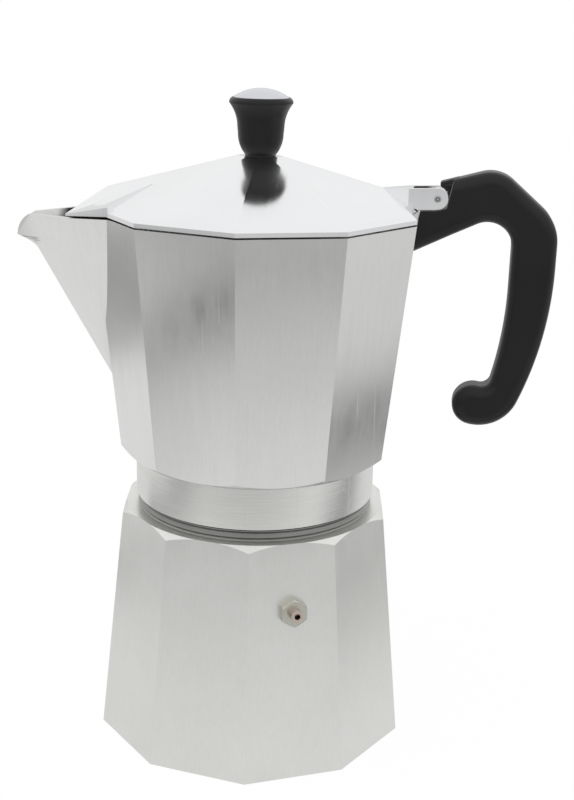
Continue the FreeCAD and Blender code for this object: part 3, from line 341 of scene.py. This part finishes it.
def inside_with_painted_shade(name):
    """The jug's inside: plain near the spout's lip, painted dark as shade in the spout under the beak, and
    faintly painted as shade in the jug.
    """
    material = metal(name, (0.74, 0.74, 0.72), (0.84, 0.84, 0.82), 0.26, upright_grain,
                     lines=0.06, smudge=0.08)
    tree = material.node_tree
    colour = tree.nodes["Principled BSDF"].inputs["Base Color"]
    place = tree.nodes.new("ShaderNodeTexCoord")
    split = tree.nodes.new("ShaderNodeSeparateXYZ")
    tree.links.new(place.outputs["Object"], split.inputs["Vector"])
    # Painted shade: the colour is darkened where the spout runs under the beak, and faintly in the jug.
    shade_mix = tree.nodes.new("ShaderNodeMix")
    shade_mix.data_type = "RGBA"
    in_spout = spread(tree, split.outputs["X"], SHADE_FREE_LIP * MM, SHADE_START * MM)
    strength = spread(tree, split.outputs["X"], SPOUT_END * MM, JUG_START * MM, 1.0, JUG_SHADE_SHARE)
    tree.links.new(reckon(tree, "MULTIPLY", in_spout, strength), shade_mix.inputs["Factor"])
    tree.links.new(colour.links[0].from_socket, shade_mix.inputs["A"])
    shade_mix.inputs["B"].default_value = PAINTED_SHADE_COLOUR
    tree.links.new(shade_mix.outputs["Result"], colour)
    return material


def upright_grain(tree, place):
    """Fine upright lines."""
    return stretched(tree, place, scale=(2600.0, 2600.0, 40.0))


def turned_grain(tree, place):
    """Fine lines round the axis."""
    return around_axis(tree, place, turns=3.0, out=2200.0, up=2600.0)


def outward_grain(tree, place):
    """Fine lines out from the axis."""
    return around_axis(tree, place, turns=260.0, out=40.0, up=60.0)


def even_grain(tree, place):
    """A fine grain with no direction."""
    return stretched(tree, place, scale=(1500.0, 1500.0, 1500.0))


def moulded_black(name, colour, light, rough):
    """Moulded plastic: near black, faintly mottled, with a fine pebbled texture and rubbed edges."""
    material, tree, shader, place = new_finish(name)
    shader.inputs["Specular IOR Level"].default_value = MOULDED_SPECULAR
    marks = effect(tree, HAND_SMUDGE, place)
    wear = effect(tree, EDGE_WEAR, place)
    tone = reckon(tree, "MAXIMUM", reckon(tree, "MULTIPLY", marks["Patches"], SMUDGE_TONE), wear["Worn"])
    tree.links.new(tint(tree, tone, colour, light), shader.inputs["Base Color"])
    roughness = reckon(tree, "ADD", reckon(tree, "MULTIPLY", marks["Patches"], MOULDED_SMUDGE), rough)
    tree.links.new(roughness, shader.inputs["Roughness"])
    raise_surface(tree, shader, noise(tree, place, scale=2600.0), PEBBLE_STRENGTH, PEBBLE_DEPTH)
    return material


def rubber_finish(name):
    """Matt rubber with a dusty bloom."""
    material, tree, shader, place = new_finish(name)
    marks = effect(tree, HAND_SMUDGE, place)
    bloom = tint(tree, marks["Patches"], dark=(0.55, 0.53, 0.48), light=(0.66, 0.64, 0.6))
    tree.links.new(bloom, shader.inputs["Base Color"])
    roughness = spread(tree, marks["Patches"], low=0.0, high=1.0, to_low=0.6, to_high=0.75)
    tree.links.new(roughness, shader.inputs["Roughness"])
    raise_surface(tree, shader, noise(tree, place, scale=1800.0), RUBBER_STRENGTH, PEBBLE_DEPTH)
    return material


CAST = metal("satin_cast_aluminium", (0.78, 0.78, 0.755), (0.87, 0.87, 0.85), 0.28, upright_grain,
             lines=0.10, smudge=0.08)
POLISHED = metal("polished_aluminium", (0.80, 0.80, 0.79), (0.88, 0.88, 0.87), 0.15, upright_grain,
                 lines=0.04, smudge=0.06)
LID = metal("polished_lid_aluminium", (0.87, 0.875, 0.885), (0.93, 0.935, 0.945), 0.085, outward_grain,
            lines=0.02, smudge=0.03)
INNER = inside_with_painted_shade("inside_aluminium_painted_shade")
TURNED = metal("turned_aluminium", (0.76, 0.76, 0.735), (0.86, 0.86, 0.84), 0.20, turned_grain,
               lines=0.10, smudge=0.05, anisotropy=0.5)
# A darker copy of the turned aluminium: painted shade for the boiler's neck ring in the gap under the collar.
SHADED = metal("ring_aluminium_painted_shade", (0.26, 0.26, 0.255), (0.39, 0.39, 0.38), 0.24, turned_grain,
               lines=0.10, smudge=0.05)
SHEET = metal("spun_sheet_aluminium", (0.66, 0.66, 0.65), (0.78, 0.78, 0.77), 0.24, turned_grain,
              lines=0.08, smudge=0.06)
NICKEL = metal("nickelled_brass", (0.50, 0.50, 0.44), (0.66, 0.65, 0.59), 0.20, even_grain,
               lines=0.05, smudge=0.06)
COPPERY = metal("valve_bush_brass", (0.56, 0.47, 0.42), (0.70, 0.60, 0.54), 0.22, even_grain,
                lines=0.05, smudge=0.06)
STEEL = metal("bright_steel", (0.55, 0.55, 0.56), (0.68, 0.68, 0.69), 0.20, even_grain, lines=0.04)
CHROME = metal("chromed_cap", (0.64, 0.65, 0.68), (0.74, 0.75, 0.78), 0.10, turned_grain,
               lines=0.02, smudge=0.04)
BLACK = moulded_black("moulded_black_plastic", (0.0048, 0.0048, 0.0053), (0.0105, 0.0102, 0.0102), 0.29)
RUBBER = rubber_finish("gasket_rubber")


# Pieces. Each is a whole-faced copy of its construction surface with its edges broken and its finish on.

def whole_faces(node):
    """A construction surface with its loose triangles joined into whole flat faces."""
    bm = bmesh.new()
    bm.from_mesh(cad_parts[node].data)
    for layer in list(bm.loops.layers.uv):
        bm.loops.layers.uv.remove(layer)
    bmesh.ops.remove_doubles(bm, verts=bm.verts, dist=MERGE_REACH)
    bmesh.ops.dissolve_limit(bm, angle_limit=math.radians(FLAT_BEND), verts=bm.verts, edges=bm.edges,
                             use_dissolve_boundaries=False)
    bm.faces.layers.float.new("wear")
    return bm


def anywhere(x, y, z, r):
    """A test that every place passes."""
    return True


def edges_where(bm, test, least=FACET_BEND):
    """The edges bent by some degrees whose middle passes a test of (x, y, z, reach from Z) in mm."""
    found = []
    for edge in bm.edges:
        if len(edge.link_faces) != 2 or math.degrees(edge.calc_face_angle(0.0)) < least:
            continue
        middle = (edge.verts[0].co + edge.verts[1].co) / 2 / MM
        if test(middle.x, middle.y, middle.z, math.hypot(middle.x, middle.y)):
            found.append(edge)
    return found


def break_edges(bm, edges, width, segments=3):
    """Bevel edges and mark the new faces as rubbed."""
    made = bmesh.ops.bevel(bm, geom=edges, offset=width, offset_type="OFFSET", segments=segments,
                           profile=0.5, affect="EDGES", clamp_overlap=True, material=-1)
    wear = bm.faces.layers.float["wear"]
    for face in made["faces"]:
        face[wear] = 1.0


def show(bm, name, body, node, finishes, sharp=38.0):
    """Make a piece that stands for a construction node, with smooth faces between its sharp edges."""
    for face in bm.faces:
        face.smooth = True
    for edge in bm.edges:
        edge.smooth = math.degrees(edge.calc_face_angle(0.0)) < sharp
    mesh = bpy.data.meshes.new(name)
    bm.to_mesh(mesh)
    bm.free()
    for finish in finishes:
        mesh.materials.append(finish)
    piece = bpy.data.objects.new(name, mesh)
    bpy.context.scene.collection.objects.link(piece)
    weights = piece.modifiers.new("weighted_normals", "WEIGHTED_NORMAL")
    weights.keep_sharp = True
    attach(piece, body)
    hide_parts(node)
    return piece


def paint(bm, index, test):
    """Give the faces whose middle passes a test another of the piece's finishes."""
    for face in bm.faces:
        middle = face.calc_center_median() / MM
        if test(middle.x, middle.y, middle.z, math.hypot(middle.x, middle.y)):
            face.material_index = index


def on_ring(vert):
    """Whether a point lies on the boiler's neck ring."""
    return abs(math.hypot(vert.co.x, vert.co.y) / MM - RING_RADIUS) < RING_REACH


def turn_grooves(bm):
    """Two fine turned grooves round the boiler's neck ring."""
    for middle in RING_GROOVES:
        for height in (middle - GROOVE_HALF, middle, middle + GROOVE_HALF):
            band = [face for face in bm.faces
                    if abs(face.normal.z) < UPRIGHT and all(on_ring(vert) for vert in face.verts)]
            parts = {part for face in band for part in (face, *face.edges, *face.verts)}
            bmesh.ops.bisect_plane(bm, geom=list(parts), dist=CUT_REACH, plane_co=(0.0, 0.0, height * MM),
                                   plane_no=(0.0, 0.0, 1.0))
            bm.normal_update()
        cut = [vert for vert in bm.verts
               if abs(vert.co.z / MM - middle) < HEIGHT_REACH and on_ring(vert)]
        share = 1.0 - GROOVE_DEPTH / RING_RADIUS
        bmesh.ops.scale(bm, vec=(share, share, 1.0), verts=cut)
    bm.normal_update()


def boiler_shell():
    """The boiler, with its turned neck painted darker as shade in the gap under the collar."""
    bm = whole_faces("boiler")
    outside = edges_where(bm, lambda x, y, z, r: r > BOILER_OUTSIDE and z < NECK_TOP)
    break_edges(bm, outside, RIDGE_BREAK)
    turn_grooves(bm)
    # The neck ring and what is above it take the darker finish, as painted shade under the collar.
    paint(bm, 1, lambda x, y, z, r: z > NECK_FOOT)
    show(bm, "boiler_shell", "boiler", "boiler", [CAST, SHADED])


def collector_jug():
    """The jug: polished outside, with a turned collar and an inside painted dark as shade."""
    bm = whole_faces("collector")
    outside = edges_where(bm, lambda x, y, z, r: x > SPOUT_BACK and z > COLLAR_TOP
                          and (r > JUG_OUTSIDE or z > JUG_RIM))
    spout = edges_where(bm, lambda x, y, z, r: x <= SPOUT_BACK and z > COLLAR_TOP, SPOUT_BEND)
    break_edges(bm, outside + spout, RIDGE_BREAK)
    collar = edges_where(bm, lambda x, y, z, r: z < COLLAR_FOOT and r > COLLAR_OUTSIDE)
    break_edges(bm, collar, RIM_BREAK)
    paint(bm, 1, lambda x, y, z, r: z < TURNED_TOP)
    for face in bm.faces:
        middle = face.calc_center_median()
        outward = Vector((middle.x, middle.y, 0.0)).normalized()
        if middle.z > INSIDE_FOOT * MM and face.normal.dot(outward) < FACING_IN:
            face.material_index = 2
    show(bm, "collector_jug", "collector", "collector", [POLISHED, TURNED, INNER])


def hinged_lid():
    """The lid with its beak and its hinge lug."""
    bm = whole_faces("lid")
    break_edges(bm, edges_where(bm, anywhere, LID_BEND), RIM_BREAK)
    show(bm, "hinged_lid", "lid", "lid", [LID])


def grip_handle():
    """The handle. It is left out of reflections, because the photograph's jug does not mirror it."""
    bm = whole_faces("handle")
    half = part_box("handle")[1].y / MM
    draw_up_to_hinge(bm)
    rim = edges_where(bm, lambda x, y, z, r: abs(y) > half - FRONT_REACH, HANDLE_BEND)
    break_edges(bm, rim, HANDLE_ROUND, 5)
    taper_to_hinge(bm)
    add_rib(bm)
    grip = show(bm, "grip_handle", "collector", "handle", [BLACK])
    grip.visible_glossy = False


def draw_up_to_hinge(bm):
    """Bring the handle's front close around the hinge barrel and the lug above it."""
    for vert in bm.verts:
        x, z = vert.co.x / MM, vert.co.z / MM
        for (corner_x, corner_z), place in HINGE_CORNERS.items():
            if math.hypot(x - corner_x, z - corner_z) < CORNER_REACH:
                vert.co.x, vert.co.z = place[0] * MM, place[1] * MM
        if abs(x - HANDLE_FRONT) < FRONT_REACH and z > FRONT_FOOT[1] - CORNER_REACH:
            vert.co.x = (FRONT_FOOT[0] + (z - FRONT_FOOT[1]) * FRONT_LEAN) * MM


def taper_to_hinge(bm):
    """Narrow the handle towards the hinge, past its pocket for the tang."""
    for cut in range(TAPER_CUTS + 1):
        across = TAPER_END + (TAPER_START - TAPER_END) * cut / TAPER_CUTS
        bmesh.ops.bisect_plane(bm, geom=bm.verts[:] + bm.edges[:] + bm.faces[:], dist=CUT_REACH,
                               plane_co=(across * MM, 0.0, 0.0), plane_no=(1.0, 0.0, 0.0))
    for vert in bm.verts:
        x, y = vert.co.x / MM, abs(vert.co.y) / MM
        if x < TAPER_START and not (x < POCKET_BACK and y < POCKET_HALF):
            share = min(1.0, (TAPER_START - x) / (TAPER_START - TAPER_END))
            vert.co.y *= 1.0 - (1.0 - TAPER_SHARE) * share


def add_rib(bm):
    """The narrow rib that reaches forward from the handle's top over the hinge knuckle, and its web."""
    for low_x, low_z, high_x, high_z, incline in RIB_BLOCKS:
        low, high = Vector((low_x, -RIB_HALF, low_z)), Vector((high_x, RIB_HALF, high_z))
        block = bmesh.ops.create_cube(bm, size=1.0)["verts"]
        bmesh.ops.scale(bm, vec=(high - low) * MM, verts=block)
        bmesh.ops.translate(bm, vec=(low + high) / 2 * MM, verts=block)
        shear = Matrix.Identity(4)
        shear[2][0] = incline
        shear[2][3] = -incline * low_x * MM
        bmesh.ops.transform(bm, matrix=shear, verts=block)
        edges = {edge for vert in block for edge in vert.link_edges}
        break_edges(bm, list(edges), RIB_ROUND, 3)


def turned_piece(node, body, finish, width=SMALL_BREAK, detail=None):
    """A small turned or drilled piece with its sharp edges broken, and with any detail of its own."""
    bm = whole_faces(node)
    if width:
        break_edges(bm, edges_where(bm, anywhere, PIECE_BEND), width, 2)
    if detail:
        detail(bm)
    return show(bm, node + "_piece", body, node, [finish])


def groove_ends(bm):
    """A ring groove in each riveted end of the hinge pin."""
    bm.normal_update()
    ends = [face for face in bm.faces if abs(face.normal.y) > END_ON]
    for width, rise in PIN_GROOVE:
        bmesh.ops.inset_region(bm, faces=ends, thickness=width, depth=rise, use_even_offset=True)


boiler_shell()
collector_jug()
hinged_lid()
grip_handle()
turned_piece("knob", "lid", BLACK)
turned_piece("knob_cap", "lid", CHROME)
turned_piece("knob_screw", "lid", STEEL)
turned_piece("knob_washer", "lid", STEEL)
turned_piece("hinge_pin", "collector", STEEL, detail=groove_ends)
turned_piece("handle_screw", "collector", STEEL)
turned_piece("coffee_column", "collector", CAST)
turned_piece("valve_body", "boiler", NICKEL)
turned_piece("valve_bush", "boiler", COPPERY)
spring = turned_piece("valve_spring", "boiler", STEEL, 0.0)
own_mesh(spring)
turned_piece("valve_ball", "valve_ball", STEEL, 0.0)
turned_piece("funnel", "funnel", SHEET)
turned_piece("basket_sieve", "funnel", SHEET, 0.0)
turned_piece("filter_plate", "filter_plate", SHEET, 0.0)
turned_piece("gasket", "gasket", RUBBER)


# Stage: a white table that shows a painted glow in reflections, falling off to grey bands in its far parts,
# in a pale room with soft light from above.

TABLE_SIZE = 3.2
TABLE_DROP = 0.2 * MM
PAPER_COLOUR = (0.86, 0.86, 0.85, 1.0)
WHITE = (1.0, 1.0, 1.0, 1.0)
WHITE_SHARE = 0.97
LAMP_PLACE = Vector((-0.45, -0.35, 1.10))
LAMP_AIM = Vector((0.0, 0.0, 0.12))
LAMP_SIZE = 1.31
LAMP_POWER = 5.0

# The photograph's view: the camera's place in metres and its directions.
CAMERA_PLACE = Vector((60.04, -461.70, 268.89)) * MM
CAMERA_RIGHT = Vector((0.99352, 0.11128, 0.02285)).normalized()
CAMERA_AHEAD = Vector((-0.09984, 0.95126, -0.29180)).normalized()
CAMERA_LENS = 58.27
CAMERA_SENSOR = 36.0
CAMERA_NEAR = 0.01

# How bright the room's walls are, as (height of the view, level) steps.
WALL_STEPS = [(-0.30, 0.34), (-0.08, 0.50), (0.06, 0.66), (0.25, 0.86), (0.40, 0.93)]

# The painted glow of the table in reflections, as (reach, level) steps in metres along each way from the
# axis.
FRONT_STEPS = [(0.15, 0.80), (0.23, 0.73), (0.29, 0.64), (0.36, 0.60), (0.40, 0.50), (0.44, 0.40),
               (0.48, 0.45), (0.60, 0.50), (0.75, 0.34), (0.86, 0.56), (1.10, 0.64)]
RIGHT_STEPS = [(0.12, 0.80), (0.19, 0.56), (0.235, 0.42), (0.252, 0.12), (0.27, 0.13), (0.292, 0.52),
               (0.32, 0.70), (0.45, 0.70)]
LEFT_STEPS = [(0.10, 0.80), (0.17, 0.68), (0.22, 0.60), (0.33, 0.58), (0.40, 0.60)]
LEFT_BAND_STEPS = [(0.19, 0.80), (0.23, 0.52), (0.25, 0.36), (0.268, 0.36), (0.285, 0.58), (0.305, 0.80)]
LEFT_SPOT_STEPS = [(0.0, 0.02), (0.03, 0.05), (0.058, 0.80)]
FAR_LEFT_STEPS = [(0.40, 0.85), (0.58, 0.77), (0.68, 0.42), (0.80, 0.37), (1.12, 0.38), (1.28, 0.72)]
# The middle of the left band's dark spot, how far each way slants, and where along Y each band fades in.
LEFT_SPOT = (-0.298, -0.338)
RIGHT_SLANT = -0.8
LEFT_SLANT = 0.15
FAR_LEFT_SLANT = 1.0
RIGHT_GATE = (-0.03, -0.12)
LEFT_GATE = (-0.30, 0.0)
LEFT_BAND_GATE = (0.03, 0.10)


def steps(tree, value, levels):
    """A value taken through a run of levels."""
    first, last = levels[0][0], levels[-1][0]
    ramp = tree.nodes.new("ShaderNodeValToRGB")
    ramp.color_ramp.interpolation = "EASE"
    elements = ramp.color_ramp.elements
    while len(elements) < len(levels):
        elements.new(0.5)
    for element, (reach, level) in zip(elements, levels):
        element.position = (reach - first) / (last - first)
        element.color = (level, level, level, 1.0)
    tree.links.new(spread(tree, value, first, last), ramp.inputs["Fac"])
    return ramp.outputs["Color"]


def painted_table_glow(tree):
    """The table's painted glow in reflections: grey bands to the right, in front and to the left."""
    place = tree.nodes.new("ShaderNodeTexCoord")
    split = tree.nodes.new("ShaderNodeSeparateXYZ")
    tree.links.new(place.outputs["Object"], split.inputs["Vector"])
    across, along = split.outputs["X"], split.outputs["Y"]
    leftward = reckon(tree, "MULTIPLY", across, -1.0)
    front = steps(tree, reckon(tree, "MULTIPLY", along, -1.0), FRONT_STEPS)
    right = steps(tree, slanted(tree, across, along, RIGHT_SLANT), RIGHT_STEPS)
    right = reckon(tree, "MAXIMUM", right, spread(tree, along, *RIGHT_GATE))
    left = steps(tree, slanted(tree, leftward, along, LEFT_SLANT), LEFT_STEPS)
    left = reckon(tree, "MAXIMUM", left, spread(tree, along, *LEFT_GATE))
    band = steps(tree, slanted(tree, leftward, along, LEFT_SLANT), LEFT_BAND_STEPS)
    band = reckon(tree, "MAXIMUM", band, spread(tree, along, *LEFT_BAND_GATE))
    spot = steps(tree, reach_from(tree, across, along, LEFT_SPOT), LEFT_SPOT_STEPS)
    band = reckon(tree, "MINIMUM", band, spot)
    far_left = steps(tree, slanted(tree, leftward, along, FAR_LEFT_SLANT), FAR_LEFT_STEPS)
    level = reckon(tree, "MINIMUM", reckon(tree, "MINIMUM", right, left), front)
    return reckon(tree, "MINIMUM", level, reckon(tree, "MINIMUM", band, far_left))


def reach_from(tree, across, along, point):
    """The distance on the table from a point."""
    aside = reckon(tree, "POWER", reckon(tree, "SUBTRACT", across, point[0]), 2.0)
    ahead = reckon(tree, "POWER", reckon(tree, "SUBTRACT", along, point[1]), 2.0)
    return reckon(tree, "SQRT", reckon(tree, "ADD", aside, ahead), 0.0)


def slanted(tree, first, second, slant):
    """A way across the table: the first axis with a share of the second."""
    return reckon(tree, "ADD", first, reckon(tree, "MULTIPLY", second, slant))


def white_table():
    """A white table that shows a painted glow with grey bands in reflections only."""
    bm = bmesh.new()
    bmesh.ops.create_grid(bm, x_segments=1, y_segments=1, size=TABLE_SIZE / 2)
    bmesh.ops.translate(bm, vec=(0.0, 0.0, -TABLE_DROP), verts=bm.verts)
    mesh = bpy.data.meshes.new("white_table")
    bm.to_mesh(mesh)
    bm.free()
    material = bpy.data.materials.new("white_paper_painted_glow")
    material.use_nodes = True
    tree = material.node_tree
    tree.nodes.remove(tree.nodes["Principled BSDF"])
    paper = tree.nodes.new("ShaderNodeBsdfDiffuse")
    paper.inputs["Color"].default_value = PAPER_COLOUR
    path = tree.nodes.new("ShaderNodeLightPath")
    white = tree.nodes.new("ShaderNodeEmission")
    painted_glow = tree.nodes.new("ShaderNodeEmission")
    # Painted reflection: for glossy rays only, the table glows in grey bands.
    tree.links.new(painted_table_glow(tree), painted_glow.inputs["Strength"])
    mirrored = mixed(tree, path.outputs["Is Glossy Ray"], paper, painted_glow)
    direct = reckon(tree, "MULTIPLY", path.outputs["Is Camera Ray"], WHITE_SHARE)
    seen = mixed(tree, direct, mirrored, white)
    tree.links.new(seen.outputs[0], tree.nodes["Material Output"].inputs["Surface"])
    mesh.materials.append(material)
    table = bpy.data.objects.new("white_table", mesh)
    bpy.context.scene.collection.objects.link(table)


def mixed(tree, share, first, second):
    """Two shaders mixed by a share."""
    mix = tree.nodes.new("ShaderNodeMixShader")
    tree.links.new(share, mix.inputs["Fac"])
    tree.links.new(first.outputs[0], mix.inputs[1])
    tree.links.new(second.outputs[0], mix.inputs[2])
    return mix


def room():
    """Pale walls under a white ceiling, and a plain white background."""
    world = bpy.data.worlds.new("studio_room")
    world.use_nodes = True
    bpy.context.scene.world = world
    tree = world.node_tree
    place = tree.nodes.new("ShaderNodeTexCoord")
    split = tree.nodes.new("ShaderNodeSeparateXYZ")
    tree.links.new(place.outputs["Generated"], split.inputs["Vector"])
    walls = steps(tree, split.outputs["Z"], WALL_STEPS)
    plain = tree.nodes["Background"]
    plain.inputs["Color"].default_value = WHITE
    plain.inputs["Strength"].default_value = 1.0
    pale = tree.nodes.new("ShaderNodeBackground")
    tree.links.new(walls, pale.inputs["Color"])
    path = tree.nodes.new("ShaderNodeLightPath")
    seen = mixed(tree, path.outputs["Is Camera Ray"], pale, plain)
    tree.links.new(seen.outputs[0], tree.nodes["World Output"].inputs["Surface"])


def soft_lamp():
    """A soft light from above left, which lights the pot but is not mirrored in it."""
    lamp = bpy.data.lights.new("soft_lamp", "AREA")
    lamp.shape = "SQUARE"
    lamp.size = LAMP_SIZE
    lamp.energy = LAMP_POWER
    holder = bpy.data.objects.new("soft_lamp", lamp)
    holder.location = LAMP_PLACE
    holder.rotation_euler = (LAMP_AIM - LAMP_PLACE).to_track_quat("-Z", "Y").to_euler()
    holder.visible_glossy = False
    bpy.context.scene.collection.objects.link(holder)


def camera():
    """The photograph's view."""
    up = CAMERA_RIGHT.cross(CAMERA_AHEAD).normalized()
    data = bpy.data.cameras.new("photo_camera")
    data.lens = CAMERA_LENS
    data.sensor_width = CAMERA_SENSOR
    data.clip_start = CAMERA_NEAR
    holder = bpy.data.objects.new("photo_camera", data)
    turn = Matrix((CAMERA_RIGHT, up, -CAMERA_AHEAD)).transposed().to_4x4()
    holder.matrix_world = Matrix.Translation(CAMERA_PLACE) @ turn
    bpy.context.scene.collection.objects.link(holder)
    bpy.context.scene.camera = holder


white_table()
room()
soft_lamp()
camera()
bpy.context.scene.view_settings.view_transform = "Standard"
